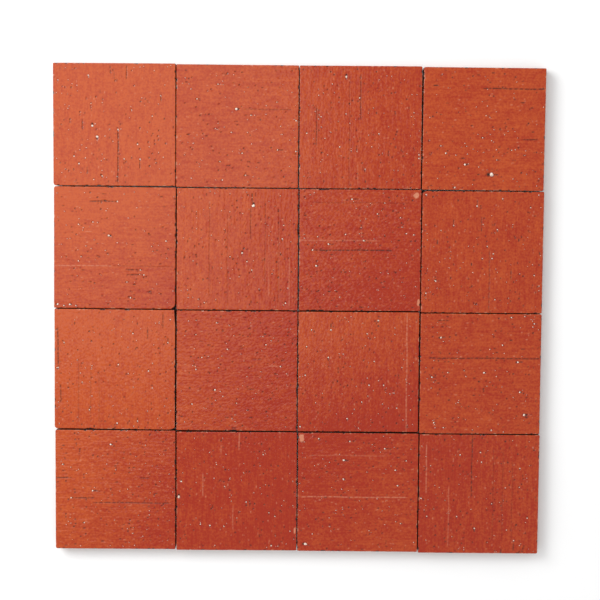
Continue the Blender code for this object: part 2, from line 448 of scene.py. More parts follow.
        "fire_and_sheen": (0.2, 0.1, 0), "set": (.0, .3, .0), "feel": (1.6, 1.5, 1.2),
    },
}
print("marks:", {tile: len(MARKS[tile]["lines"]) + len(MARKS[tile]["grains"]) for tile in TILES})

# Thin places where the glaze drew back and shows pale slip: tile, u, v,
# half width and half depth in millimetres.
THIN_PLACES = (
    ("b3", .958, .046, 2.4, 2.3),
    ("d3", .030, .045, 2.0, 3.6),
    ("d2", .985, .83, 0.8, 2.5),
    ("b3", .985, .93, 1.2, 3.0),
)

# %% [markdown]
# ## The face of a tile
#
# The face starts as a flat grid from `create_grid`, fine enough that a drag
# line half a millimetre wide gets points of its own. The outermost rows are
# drawn close together so that the arris, the edge where face meets side, can
# roll over in a clean curve. Moving those points is all the shaping there is;
# then the grid's border is extruded down to the coat's back and closed.
#
# Heights add up in layers, each in millimetres: the lie of the tile, broad
# unevenness, corrugation along the drag, orange peel in the glaze, then
# furrows, pits and the torn rims around grains. Alongside the heights the
# same functions record masks (0 to 1) as point attributes, so that a
# furrow's painted shade sits exactly in its furrow and a raised line's
# painted glint exactly on its line.

# %% Grid lines, closer together at the rim
GRID_CELLS = 214
RIM_STEPS = (0.0, 0.06, 0.16, 0.32, 0.56)
ARRIS = 0.5


def grid_lines(side):
    """Places across a side in millimetres, from -side/2 to side/2."""
    rim = np.array(RIM_STEPS)
    inner = np.linspace(rim[-1], side - rim[-1], GRID_CELLS + 1 - 2 * (len(rim) - 1))
    places = np.concatenate([rim[:-1], inner, side - rim[:-1][::-1]])
    return places - side / 2


def round_corners(x, y, width, depth, radius):
    """Slide points near the corners in, from a square onto a quarter disc."""
    reach_x = np.abs(x) - (width / 2 - radius)
    reach_y = np.abs(y) - (depth / 2 - radius)
    near = (reach_x > 0) & (reach_y > 0)
    longest = np.where(near, np.maximum(reach_x, reach_y), 1.0)
    straight = np.where(near, np.hypot(reach_x, reach_y), 1.0)
    pull = longest / straight
    x = np.where(near, np.sign(x) * (width / 2 - radius + reach_x * pull), x)
    y = np.where(near, np.sign(y) * (depth / 2 - radius + reach_y * pull), y)
    rim = np.minimum(width / 2 - np.abs(x), depth / 2 - np.abs(y))
    rim = np.where(near, radius - longest, rim)
    return x, y, np.maximum(rim, 0.0)


# %% [markdown]
# ## Corners, chips and bites
#
# Loose tiles lose their corners first. Some corners are only worn rounder,
# which the grid does by sliding its points. A few are broken off by a flat
# break, and no sliding can open the clay under the glaze, so `bisect_plane`
# cuts them and the cut is closed with bare clay. Small bites along an edge
# are only a dip darkened with painted shade, because they never go through
# the coat.

# %% Corners worn rounder, as radii in millimetres
CORNER_RADIUS = 0.8
FAR_LEFT, FAR_RIGHT, NEAR_LEFT, NEAR_RIGHT = (-1, 1), (1, 1), (-1, -1), (1, -1)
WORN_CORNERS = {
    ("a1", NEAR_LEFT): 2.2,
    ("a3", FAR_RIGHT): 1.2,
    ("a4", FAR_LEFT): 1.4,
    ("b1", FAR_LEFT): 1.8,
    ("c1", NEAR_LEFT): 2.4,
    ("c4", FAR_RIGHT): 1.5,
    ("d1", FAR_LEFT): 1.4,
    ("d1", NEAR_LEFT): 1.6,
    ("d4", NEAR_RIGHT): 1.2,
}


# Corners knocked off: tile, corner, reach along X, along Y and down, in
# millimetres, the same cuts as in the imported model.
CHIPS = (
    ("a4", NEAR_RIGHT, 1.6, 1.2, 3.0),
    ("b1", NEAR_RIGHT, 3.8, 3.0, 9.0),
    ("b4", FAR_LEFT, 3.0, 1.8, 8.0),
    ("c1", FAR_RIGHT, 0.9, 14.0, 9.0),
    ("c1", NEAR_RIGHT, 3.4, 1.7, 6.0),
)
# Edge bites, dips darkened with painted shade: tile, u, v, half width and
# half depth in mm.
EDGE_BITES = (
    ("c1", 0.30, 1.00, 3.0, 0.8),
    ("c1", 0.62, 1.00, 1.2, 0.6),
    ("c2", 0.43, 0.00, 3.2, 0.9),
    ("c2", 0.97, 0.00, 1.6, 0.9),
    ("c2", 0.48, 1.00, 3.0, 0.8),
    ("b3", 0.12, 1.00, 3.4, 0.8),
    ("b1", 1.00, 0.22, 0.6, 6.0),
    ("b1", 1.00, 0.56, 0.5, 2.6),
    ("b1", 1.00, 0.84, 0.6, 4.0),
    ("b2", 1.00, 0.34, 0.9, 4.5),
    ("c2", 1.00, 0.66, 0.7, 5.5),
    ("c3", 0.00, 0.10, 0.6, 3.0),
    ("d4", 0.00, 0.50, 0.6, 4.0),
    ("d3", 0.00, 0.30, 0.6, 2.4),
)


def cut_chips(obj, tile):
    """Slice off this tile's chips and close the cuts with bare clay."""
    lie = LIE[tile]
    half_x, half_y = lie["width"] * 500, lie["depth"] * 500
    for chipped, (side_x, side_y), reach_x, reach_y, down in CHIPS:
        if chipped != tile:
            continue
        x, y, z = side_x * half_x, side_y * half_y, FACE_HEIGHT * 1000
        corners = np.array([
            (x - side_x * reach_x, y, z),
            (x, y - side_y * reach_y, z),
            (x, y, z - down),
        ])
        a, b, c = (Vector(place) for place in to_world(tile, *corners.T))
        normal = (b - a).cross(c - a).normalized()
        if normal.z < 0:
            normal.negate()
        mesh = bmesh.new()
        mesh.from_mesh(obj.data)
        cut = bmesh.ops.bisect_plane(
            mesh,
            geom=mesh.verts[:] + mesh.edges[:] + mesh.faces[:],
            dist=1e-7,
            plane_co=c,
            plane_no=normal,
            clear_outer=True,
        )
        border = [item for item in cut["geom_cut"] if isinstance(item, bmesh.types.BMEdge)]
        made = bmesh.ops.contextual_create(mesh, geom=border)["faces"]
        for face in made:
            face.material_index = len(obj.data.materials) - 1
            face.smooth = False
        mesh.to_mesh(obj.data)
        mesh.free()
        print("chip:", tile, "filled with", len(made), "face")


def corner_radii(tile, x, y):
    """The corner radius that applies in each point's quarter of the tile."""
    radius = np.full(x.shape, CORNER_RADIUS)
    for (worn, corner), value in WORN_CORNERS.items():
        if worn == tile:
            radius = np.where((x * corner[0] > 0) & (y * corner[1] > 0), value, radius)
    return radius


print("corners:", len(WORN_CORNERS), "worn,", len(CHIPS), "broken;", len(EDGE_BITES), "edge bites")

# %% [markdown]
# ## Marks as a class
#
# A furrow, a hole and a grain all change height and colour at one place; the
# colour is painted shade in dark marks and a painted glint on pale ones. A
# texture could fake that, but it would be flat from the side. Here a small
# class holds the heights and masks of a face, and each kind of mark is a
# method that works only on the points near it, which keeps it quick.

# %% One furrow, grain bed or pit at a time


class Relief:
    """Heights and masks over one tile's points, built up mark by mark.

    Points are in millimetres from the tile's middle, x right and y away.
    """

    def __init__(self, tile, x, y, rim):
        self.tile = tile
        self.x = x
        self.y = y
        self.rim = rim
        self.lie = LIE[tile]
        self.height = np.zeros_like(x)
        self.recess_shade = np.zeros_like(x)
        self.glint_and_pale = np.zeros_like(x)
        self.drag_down = MARKS[tile]["drag"] == "v"
        self.rng = np.random.default_rng(1000 + "abcd".index(tile[0]) * 10 + int(tile[1]))
        # s runs along the drag and t across it.
        self.s = -y if self.drag_down else x
        self.t = x if self.drag_down else -y

    def place(self, u, v):
        """Fractions of the sides to millimetres along and across the drag."""
        x = (u - 0.5) * self.lie["width"] * 1000
        y = (0.5 - v) * self.lie["depth"] * 1000
        return (-y, x) if self.drag_down else (x, -y)

    def along(self, across, start, end):
        """A drag line's ends in millimetres: s from, s to, t."""
        if self.drag_down:
            s_from, t = self.place(across, start)
            s_to, _ = self.place(across, end)
        else:
            s_from, t = self.place(start, across)
            s_to, _ = self.place(end, across)
        return s_from, s_to, t

    def furrow(self, s_from, s_to, t, half_width, depth, dark=0.0, glint_and_pale=0.0, wander=0.15):
        """Groove along the drag with tapered ends, a raised lip and a mask: painted shade for a dark furrow,
        a painted glint for a pale one.
        """
        reach = 4 * half_width + 1.0
        low, high = min(s_from, s_to), max(s_from, s_to)
        near = (np.abs(self.t - t) < reach + wander) & (self.s > low - 1) & (self.s < high + 1)
        s, across = self.s[near], self.t[near] - t
        length = max(high - low, 0.1)
        taper = smooth(low - 0.4, low + 0.25 * min(length, 8) + 0.2, s)
        taper = taper * (1 - smooth(high - 0.25 * min(length, 8) - 0.2, high + 0.4, s))
        bends = self.rng.uniform(0, 2 * math.pi, 3)
        path = wander * (np.sin(s / 9 + bends[0]) + 0.5 * np.sin(s / 3.1 + bends[1]))
        broken = ripple(self.rng, s, across, 2.2, 40)
        breaks = 0.35 + 0.65 * smooth(-0.35, 0.15, broken)
        gap = (across - path) / half_width
        trough = np.exp(-gap * gap)
        lips = np.exp(-((np.abs(gap) - 1.9) ** 2) / 0.5)
        self.height[near] += taper * breaks * (-depth * trough + 0.25 * abs(depth) * lips)
        # Profile across the furrow of its painted shade when dark and its painted glint when pale.
        painted_profile = taper * breaks * np.exp(-(gap / 1.05) ** 2)
        self.recess_shade[near] = np.maximum(self.recess_shade[near], dark * painted_profile)
        self.glint_and_pale[near] = np.maximum(self.glint_and_pale[near], glint_and_pale * painted_profile)

    def hole(self, s0, t0, half_length, half_width, depth, dark):
        """Ragged pit, longer along the drag, darkened with painted shade."""
        ds, dt = (self.s - s0) / half_length, (self.t - t0) / half_width
        gap = ds * ds + dt * dt
        near = gap < 6
        bowl = np.exp(-gap[near] ** 1.5)
        self.height[near] -= depth * bowl
        self.recess_shade[near] = np.maximum(self.recess_shade[near], dark * bowl)

    def swell(self, s0, t0, radius, height):
        """Low bump where a grain lifts the glaze over it."""
        gap = ((self.s - s0) ** 2 + (self.t - t0) ** 2) / (radius * radius)
        near = gap < 6
        self.height[near] += height * np.exp(-gap[near])


print("grid:", GRID_CELLS, "cells a side, about", round(100 / GRID_CELLS, 2), "mm each")


# %% [markdown]
# ## From skin to marks
#
# The skin is noise at several sizes, stretched along the drag. The listed
# marks come next, then the small ones, which are drawn at random from a seed
# of the tile's own, so that each run gives the same tile. Last come the firing
# map, partly painted sheen and painted falloff of the light, which leans a
# little across a tile, and the thin places.

# %% All the relief of one face


def add_skin(relief):
    """Corrugation, orange peel and broad unevenness, in millimetres."""
    rng, s, t = relief.rng, relief.s, relief.t
    drag, peel, tear = MARKS[relief.tile]["feel"]
    height = 0.05 * ripple(rng, s, t, 34, 23)
    height += drag * 0.040 * ripple(rng, s, t, 24, 2.3)
    height += drag * 0.034 * ripple(rng, s, t, 8, 1.2)
    height += peel * 0.034 * ripple(rng, s, t, 6.5, 3.4, 0.25)
    height += peel * 0.062 * ripple(rng, s, t, 3.0, 1.6, -0.4)
    height += peel * 0.048 * ripple(rng, s, t, 1.9, 1.3)
    height += peel * 0.010 * ripple(rng, s, t, 1.1, 0.95)
    scales = ripple(rng, s, t, 3.6, 1.5)
    where = smooth(0.0, 0.6, ripple(rng, s, t, 15, 9))
    height += tear * 0.080 * where * np.clip(scales, 0.0, 1.0)
    relief.height += height


def add_marks(relief):
    """The marks listed in the table."""
    marks = MARKS[relief.tile]
    # Dark furrows and pits are darkened with painted shade; pale lines get a painted glint.
    for across, start, end, strength in marks["lines"]:
        s_from, s_to, t = relief.along(across, start, end)
        if strength > 0:
            relief.furrow(s_from, s_to, t, 0.42, 0.35 * strength, dark=strength)
        else:
            relief.furrow(s_from, s_to, t, 0.40, 0.12 * strength, glint_and_pale=-strength)
    for u, v, width, tail in marks["grains"]:
        s0, t0 = relief.place(u, v)
        # The bed under a grain gets a little painted shade, and the dark hole beside it, on a random side,
        # is the grain's painted shadow.
        relief.hole(s0, t0, 0.62 * width, 0.56 * width, 0.25, 0.35)
        side = 1 if relief.rng.random() < 0.5 else -1
        relief.hole(s0 + side * 0.62 * width, t0, 0.42 * width, 0.36 * width, 0.3, 1.0)
        if tail:
            start = s0 + math.copysign(0.4 * width, tail)
            relief.furrow(start, s0 + tail, t0, 0.25 * min(width, 2.0), 0.4, dark=0.85)
    for u, v, length in marks["pits"]:
        s0, t0 = relief.place(u, v)
        relief.furrow(s0 - length / 2, s0 + length / 2, t0, 0.42, 0.45, dark=1.0)


def scatter(relief, count):
    """Even random places over the face, as s and t in millimetres."""
    half_x = relief.lie["width"] * 500 - 1.5
    half_y = relief.lie["depth"] * 500 - 1.5
    x = relief.rng.uniform(-half_x, half_x, count)
    y = relief.rng.uniform(-half_y, half_y, count)
    return list(zip(-y, x) if relief.drag_down else zip(x, -y))


def add_small_marks(relief):
    """Random dashes darkened with painted shade, pale flecks with painted glints, and the beds of small
    grains with a painted shadow beside each.
    """
    rng = relief.rng
    tear = MARKS[relief.tile]["feel"][2]
    for s0, t0 in scatter(relief, int(30 + 20 * tear)):
        length = rng.uniform(0.6, 2.8)
        dark = rng.uniform(0.5, 1.0)
        relief.furrow(s0, s0 + length, t0, rng.uniform(0.34, 0.50), 0.25, dark=dark, wander=0.05)
    for s0, t0 in scatter(relief, int(40 + 60 * tear)):
        length = rng.uniform(0.3, 2.4)
        glint_and_pale = rng.uniform(0.4, 1.0)
        relief.furrow(s0, s0 + length, t0, rng.uniform(0.28, 0.46), -0.12, glint_and_pale=glint_and_pale, wander=0.1)
    for s0, t0 in scatter(relief, int(45 + 30 * tear)):
        length = rng.uniform(0.5, 1.6)
        relief.furrow(s0, s0 + length, t0, rng.uniform(0.42, 0.62), 0.4, dark=1.0, wander=0.02)
    half_x, half_y = relief.lie["width"] * 500, relief.lie["depth"] * 500
    for tile, u, v, half_width, half_depth in EDGE_BITES:
        if tile == relief.tile:
            x0, y0 = (u - 0.5) * 2 * half_x, (0.5 - v) * 2 * half_y
            ragged = 0.3 * ripple(rng, relief.x, relief.y, 1.5, 1.5)
            gap = np.hypot((relief.x - x0) / half_width, (relief.y - y0) / half_depth)
            bite = 1 - smooth(0.6, 1.1, gap + ragged)
            relief.height -= 0.7 * bite
            # Painted shade in the bite.
            relief.recess_shade = np.maximum(relief.recess_shade, bite)
    for side in range(4):
        for _ in range(9):
            run = rng.uniform(-0.95, 0.95)
            inset = rng.uniform(0.0, 0.45)
            x0, y0 = ((run * half_x, half_y - inset), (run * half_x, inset - half_y),
                      (half_x - inset, run * half_y), (inset - half_x, run * half_y))[side]
            gap = np.hypot((relief.x - x0) / (rng.uniform(0.6, 1.8) if side < 2 else 0.5),
                           (relief.y - y0) / (rng.uniform(0.6, 1.8) if side > 1 else 0.5))
            bite = 1 - smooth(0.5, 1.1, gap)
            relief.height -= 0.5 * bite
            # Most of these edge dips get painted shade, the rest pale patches.
            if rng.random() < 0.6:
                relief.recess_shade = np.maximum(relief.recess_shade, bite)
            else:
                relief.glint_and_pale = np.maximum(relief.glint_and_pale, bite)
    small = []
    for s0, t0 in scatter(relief, 60):
        width = rng.uniform(0.5, 0.95)
        # The dark hole beside each small grain is its painted shadow.
        relief.hole(s0 + 0.6 * width, t0, 0.55 * width, 0.5 * width, 0.15, rng.uniform(0.5, 1.0))
        small.append((s0, t0, width))
    return small


def fire_and_sheen_map(relief):
    """How pale the glaze shows, partly how it fired and partly painted sheen and painted falloff of the
    light: a level for the tile and a lean across it.
    """
    level, to_right, to_viewer = MARKS[relief.tile]["fire_and_sheen"]
    u = relief.x / (relief.lie["width"] * 1000)
    v = -relief.y / (relief.lie["depth"] * 1000)
    streak = ripple(relief.rng, relief.s, relief.t, 14, 4)
    cloud = ripple(relief.rng, relief.s, relief.t, 30, 22)
    tone_and_sheen = level + 2 * (to_right * u + to_viewer * v)
    return np.clip(tone_and_sheen + 0.16 * streak + 0.10 * cloud, 0, 1)


def thin_patches(relief):
    """Mask of the pale places, with ragged outlines."""
    mask = np.zeros_like(relief.x)
    ragged = 0.25 * ripple(relief.rng, relief.x, relief.y, 2.0, 2.0)
    for tile, u, v, half_width, half_depth in THIN_PLACES:
        if tile == relief.tile:
            x0 = (u - 0.5) * relief.lie["width"] * 1000
            y0 = (0.5 - v) * relief.lie["depth"] * 1000
            gap = np.hypot((relief.x - x0) / half_width, (relief.y - y0) / half_depth)
            mask = np.maximum(mask, 1 - smooth(0.8, 1.1, gap + ragged))
    return mask


def lay_of(tile, x, y):
    """Tilt and dishing of a tile at points x, y, in millimetres."""
    about_x, about_y, dish = MARKS[tile]["set"]
    half_x, half_y = LIE[tile]["width"] * 500, LIE[tile]["depth"] * 500
    tilt = y * math.tan(math.radians(about_x)) - x * math.tan(math.radians(about_y))
    bowl = dish * ((x / half_x) ** 2 + (y / half_y) ** 2 - 0.66)
    return np.clip(tilt + bowl, -0.9, 0.9)


def to_world(tile, x, y, z):
    """Tile millimetres to metres in the field."""
    lie = LIE[tile]
    c, s = math.cos(lie["turn"]), math.sin(lie["turn"])
    world_x = lie["middle"][0] + (x * c - y * s) / 1000
    world_y = lie["middle"][1] + (x * s + y * c) / 1000
    return np.stack([world_x, world_y, z / 1000], axis=-1)


# %% [markdown]
# ## Building the coat
#
# `create_grid` gives the sheet, and its points are moved all at once as an
# array, which is quick even for forty-five thousand of them. Extruding the
# border edges once makes the side of the coat, and one face across the bottom
# closes it, so the coat is a solid with its faces pointing out.

# %% Build a coat from its grid


def write_points(data, name, values):
    layer = data.attributes.new(name, "FLOAT", "POINT")
    layer.data.foreach_set("value", values.astype(np.float32))


def finish_piece(name, tile, mesh, materials, node):
    data = bpy.data.meshes.new(name)
    mesh.to_mesh(data)
    mesh.free()
    for material in materials:
        data.materials.append(material)
    data.shade_smooth()
    obj = bpy.data.objects.new(name, data)
    bpy.context.scene.collection.objects.link(obj)
    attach(obj, f"tile_{tile}")
    if node:
        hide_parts(node)
    return obj


def grid_sheet(tile, cells_x, cells_y):
    """Flat grid of unit size as a bmesh and its points' whole places."""
    mesh = bmesh.new()
    bmesh.ops.create_grid(mesh, x_segments=cells_x, y_segments=cells_y, size=0.5)
    mesh.verts.ensure_lookup_table()
    flat = np.array([vert.co[:2] for vert in mesh.verts])
    i = np.rint((flat[:, 0] + 0.5) * cells_x).astype(int)
    j = np.rint((flat[:, 1] + 0.5) * cells_y).astype(int)
    return mesh, i, j


def make_face(tile, materials):
    """The glazed coat of a tile, and the small grains it holds."""
    lie = LIE[tile]
    width, depth = lie["width"] * 1000, lie["depth"] * 1000
    mesh, i, j = grid_sheet(tile, GRID_CELLS, GRID_CELLS)
    x, y = grid_lines(width)[i], grid_lines(depth)[j]
    radius = corner_radii(tile, x, y)
    x, y, rim = round_corners(x, y, width, depth, radius)
    relief = Relief(tile, x, y, rim)
    add_skin(relief)
    add_marks(relief)
    small = add_small_marks(relief)
    calm = smooth(0.0, 1.2, rim)
    roll = np.clip(ARRIS - rim, 0, ARRIS)
    arris = ARRIS - np.sqrt(np.maximum(ARRIS * ARRIS - roll * roll, 0))
    height = relief.height * (0.3 + 0.7 * calm) - arris
    lay = lay_of(tile, x, y)
    nick = ripple(relief.rng, x, y, 5, 5) * 0.10 * (1 - calm)
    top = FACE_HEIGHT * 1000 + height + lay + nick
    floor_z = COAT_BACK * 1000 + lay
    top = np.maximum(top, floor_z + 0.05)
    # Pale patches along the rim, placed by noise.
    worn = ripple(relief.rng, x, y, 7, 7) + 0.5 * ripple(relief.rng, x, y, 2, 2)
    edge = (1 - smooth(0.2, 0.9, rim)) * smooth(0.15, 0.6, worn)
    masks = {
        # Painted shade on the coat's outermost rim, down in the joints between tiles.
        "recess_shade": np.maximum(relief.recess_shade, 0.85 * (rim < 0.1)),
        # Painted glints on raised lines and flecks, and pale patches along the rim.
        "glint_and_pale": np.maximum(relief.glint_and_pale, 0.75 * edge),
        "thin": thin_patches(relief),
        # Partly firing, partly painted sheen and painted falloff of the light.
        "fire_and_sheen": fire_and_sheen_map(relief),
    }
    border = [edge for edge in mesh.edges if edge.is_boundary]
    skirt = bmesh.ops.extrude_edge_only(mesh, edges=border)["geom"]
    lower = [item for item in skirt if isinstance(item, bmesh.types.BMVert)]
    mesh.verts.index_update()
    count = len(x)
    twin = {}
    for vert in lower:
        for edge in vert.link_edges:
            other = edge.other_vert(vert)
            if other.index < count:
                twin[vert.index] = other.index
    source = np.arange(len(mesh.verts))
    for low, high in twin.items():
        source[low] = high
    places = to_world(tile, x, y, top)[source]
    is_low = np.arange(len(source)) >= count
    places[is_low, 2] = floor_z[source[is_low]] / 1000
    hem = [edge for edge in mesh.edges if edge.is_boundary]
    bmesh.ops.contextual_create(mesh, geom=hem)
    bmesh.ops.recalc_face_normals(mesh, faces=mesh.faces)
    obj = finish_piece(f"tile_{tile}_face", tile, mesh, materials, f"tile_{tile}_glaze")
    obj.data.vertices.foreach_set("co", places.astype(np.float32).ravel())
    for name, values in masks.items():
        spread = values[source]
        # Painted shade: the coat's lower ring, down in the joints, is made fully dark.
        if name == "recess_shade":
            spread[is_low] = 1.0
        write_points(obj.data, name, spread)
    obj.data.update()
    fix_outward(obj)
    cut_chips(obj, tile)
    return relief, small, (x, y, top)


def fix_outward(obj):
    """Turn the faces round if the coat's face points down."""
    if obj.data.polygons[len(obj.data.polygons) // 2].normal.z < 0:
        obj.data.flip_normals()


# %% [markdown]
# ## Grains of grog
#
# Each grain is a crushed fragment of pale fired clay, so it starts as an
# icosphere and is pressed into an angular pebble by moving its corners by
# small random steps. Grains sit about two thirds buried, as the wire left
# them. All the grains of a tile are one piece, since they never move apart.

# %% Build the grains of a tile


def make_grains(tile, relief, small, surface, material):
    x, y, top = surface
    mesh = bmesh.new()
    rng = np.random.default_rng(5000 + "abcd".index(tile[0]) * 10 + int(tile[1]))
    seats = [(*relief.place(u, v), width, True) for u, v, width, _ in MARKS[tile]["grains"]]
    seats += [(s0, t0, width, False) for s0, t0, width in small]
    half_x, half_y = LIE[tile]["width"] * 500 - 0.7, LIE[tile]["depth"] * 500 - 0.7
    for s0, t0, width, large in seats:
        gx, gy = (t0, -s0) if relief.drag_down else (s0, -t0)
        gx, gy = np.clip(gx, -half_x, half_x), np.clip(gy, -half_y, half_y)
        nearest = int(np.argmin((x - gx) ** 2 + (y - gy) ** 2))
        width = width * (0.85 if large else 0.9)
        ball = bmesh.ops.create_icosphere(mesh, subdivisions=2 if large else 1, radius=0.5)
        squash = Vector((width * rng.uniform(0.8, 1.2), width * rng.uniform(0.7, 1.0), width * 0.55))
        spin = Matrix.Rotation(rng.uniform(0, math.pi), 3, "Z")
        seat = Vector((gx, gy, top[nearest] + (0.16 if large else 0.10)))
        for vert in ball["verts"]:
            shake = Vector(rng.uniform(-0.09, 0.09, 3))
            vert.co = spin @ ((vert.co + shake) * squash) + seat
    places = np.array([vert.co[:] for vert in mesh.verts])
    world_places = to_world(tile, places[:, 0], places[:, 1], places[:, 2])
    for vert, place in zip(mesh.verts, world_places):
        vert.co = place
    obj = finish_piece(f"tile_{tile}_grains", tile, mesh, [material], None)
    return obj


# %% [markdown]
# ## The clay body
#
# Below the coat the tile is bare fired clay. It is never seen from above, but
# a lifted tile shows its sides and back: the same corrugation from the wire,
# small pits, and a foot that has lost its sharp edge. The back is another
# grid, its border extruded up in steps to carry the relief of the sides.

# %% Build a clay body
BODY_CELLS = 60
FOOT = 0.7


def make_body(tile, material):
    lie = LIE[tile]
    width, depth = lie["width"] * 1000, lie["depth"] * 1000
    mesh, i, j = grid_sheet(tile, BODY_CELLS, BODY_CELLS)
    rng = np.random.default_rng(9000 + "abcd".index(tile[0]) * 10 + int(tile[1]))

    def lines(side):
        inner = np.linspace(0.8, side - 0.8, BODY_CELLS - 1)
        return np.concatenate([[0.0], inner, [side]]) - side / 2

    x, y = lines(width)[i], lines(depth)[j]
    for vert, px, py in zip(mesh.verts, x, y):
        vert.co = (px, py, 0.0)
    ring = [edge for edge in mesh.edges if edge.is_boundary]
    body_top = COAT_BACK * 1000
    for level in (FOOT, 3.0, 5.5, 8.0, body_top):
        made = bmesh.ops.extrude_edge_only(mesh, edges=ring)["geom"]
        ring = [item for item in made if isinstance(item, bmesh.types.BMEdge)]
        for item in made:
            if isinstance(item, bmesh.types.BMVert):
                item.co.z = level
    bmesh.ops.contextual_create(mesh, geom=ring)
    bmesh.ops.recalc_face_normals(mesh, faces=mesh.faces)
    points = np.array([vert.co[:] for vert in mesh.verts])
    px, py, pz = points.T
    foot = pz < 1e-6
    shrink = np.where(foot & (np.maximum(np.abs(px) - width / 2, np.abs(py) - depth / 2) > -1e-3), FOOT, 0.0)
    px = np.where(np.abs(px) > width / 2 - 1e-3, px - np.sign(px) * shrink, px)
    py = np.where(np.abs(py) > depth / 2 - 1e-3, py - np.sign(py) * shrink, py)
    px, py, rim = round_corners(px, py, width, depth, corner_radii(tile, px, py))
    rough = 0.07 * ripple(rng, px + py, pz, 9, 1.6) + 0.05 * ripple(rng, px - py, pz, 2.6, 2.6)
    side = (rim < 1e-3) & (pz < body_top - 1e-3)
    inward = np.where(side, np.abs(rough), 0.0)
    on_x, on_y = np.abs(px) > width / 2 - 1e-3, np.abs(py) > depth / 2 - 1e-3
    px = px - np.where(on_x, np.sign(px) * inward, 0)
    py = py - np.where(on_y, np.sign(py) * inward, 0)
    down = MARKS[tile]["drag"] == "v"
    s, t = (py, px) if down else (px, py)
    back = 0.06 + 0.06 * ripple(rng, s, t, 30, 2.5) + 0.05 * ripple(rng, s, t, 5, 4)
    pz = np.where(foot, np.maximum(back, 0.0), pz)
    pz = pz + lay_of(tile, px, py) * smooth(3, body_top, pz)
    for vert, place in zip(mesh.verts, to_world(tile, px, py, pz)):
        vert.co = place
    obj = finish_piece(f"tile_{tile}_clay", tile, mesh, [material], f"tile_{tile}_body")
    cut_chips(obj, tile)
    return obj


# %% [markdown]
# ## Materials
#
# Every glaze is the same recipe, and only the drag and the firing map differ
# from tile to tile; that map is partly firing and partly painted sheen and
# painted falloff of the light. Its colour comes in layers: deep red and pale
# orange mixed by that map, a fine mottle, drag streaks, then painted shade in
# the furrows, painted glints on pale lines and flecks, and pale slip where the
# glaze is thin.
# Mottle is used by the clay too. Mottle and streaks are node groups, each with
# its own inputs; they put out only masks, and the shader stays in the
# material.

# %% Shared node groups


def new_group(name, inputs, outputs):
    group = bpy.data.node_groups.new(name, "ShaderNodeTree")
    for socket, kind, value in inputs:
        made = group.interface.new_socket(socket, in_out="INPUT", socket_type=kind)
        if value is not None:
            made.default_value = value
    for socket, kind in outputs:
        group.interface.new_socket(socket, in_out="OUTPUT", socket_type=kind)
    return group, group.nodes.new("NodeGroupInput"), group.nodes.new("NodeGroupOutput")


def noise_mask(tree, vector, scale, detail, low, high):
    """Noise squeezed to a 0 to 1 mask between two levels."""
    noise = tree.nodes.new("ShaderNodeTexNoise")
    noise.inputs["Detail"].default_value = detail
    ramp = tree.nodes.new("ShaderNodeMapRange")
    ramp.inputs["From Min"].default_value = low
    ramp.inputs["From Max"].default_value = high
    tree.links.new(vector, noise.inputs["Vector"])
    if isinstance(scale, (int, float)):
        noise.inputs["Scale"].default_value = scale
    else:
        tree.links.new(scale, noise.inputs["Scale"])
    tree.links.new(noise.outputs["Fac"], ramp.inputs["Value"])
    return ramp.outputs["Result"]


mottle_group, g_in, g_out = new_group(
    "fired_mottle",
    [("Vector", "NodeSocketVector", None), ("Scale", "NodeSocketFloat", 600.0)],
    [("Mottle", "NodeSocketFloat"), ("Cloud", "NodeSocketFloat")],
)
fine = noise_mask(mottle_group, g_in.outputs["Vector"], g_in.outputs["Scale"], 3.0, 0.36, 0.64)
cloud = noise_mask(mottle_group, g_in.outputs["Vector"], 55.0, 3.0, 0.35, 0.65)
mottle_group.links.new(fine, g_out.inputs["Mottle"])
mottle_group.links.new(cloud, g_out.inputs["Cloud"])

streak_group, s_in, s_out = new_group(
    "wire_streaks",
    [("Vector", "NodeSocketVector", None), ("Scale", "NodeSocketFloat", 1.0)],
    [("Streak", "NodeSocketFloat")],
)
streak = noise_mask(streak_group, s_in.outputs["Vector"], s_in.outputs["Scale"], 4.0, 0.35, 0.65)
streak_group.links.new(streak, s_out.inputs["Streak"])

print("shared groups:", mottle_group.name, streak_group.name)

# %% [markdown]
# ## Putting the glaze together
#
# Colour is chosen from the back forward: the firing map with its painted
# sheen and painted falloff of the light, mottle and streaks first, then
# painted glints with pale rim patches, thin places and painted shade laid over
# them by mask. Gloss is one low roughness that varies slightly, since a fired
# glaze is smooth all over.

# %% Glaze and clay recipes
DEEP_RED = (0.31, 0.018, 0.003)
# Pale orange stands partly for fired colour and partly for painted sheen.
PALE_ORANGE_AND_SHEEN = (0.46, 0.074, 0.013)
# Near-black brown of the painted shade in furrows, pits, grain beds, bites and joints.
RECESS_SHADE_COLOUR = (0.018, 0.006, 0.004)
# Pale for painted glints on raised drag lines and flecks, and for pale patches along the rim.
GLINT_AND_PALE_COLOUR = (0.560, 0.210, 0.120)
THIN_GLAZE = (0.54, 0.19, 0.105)
GLAZE_IOR = 1.40


def mix_colour(tree, factor, first, second):
    node = tree.nodes.new("ShaderNodeMix")
    node.data_type = "RGBA"
    for socket, value in ((0, factor), (6, first), (7, second)):
        if hasattr(value, "is_linked"):
            tree.links.new(value, node.inputs[socket])
        elif isinstance(value, tuple):
            node.inputs[socket].default_value = (*value, 1.0)
        else:
            node.inputs[socket].default_value = value
    return node.outputs[2]


def times(tree, value, factor, plus=0.0):
    node = tree.nodes.new("ShaderNodeMath")
    node.operation = "MULTIPLY_ADD"
    tree.links.new(value, node.inputs[0])
    node.inputs[1].default_value = factor
    node.inputs[2].default_value = plus
    return node.outputs[0]


def add(tree, first, second):
    node = tree.nodes.new("ShaderNodeMath")
    node.use_clamp = True
    tree.links.new(first, node.inputs[0])
    tree.links.new(second, node.inputs[1])
    return node.outputs[0]


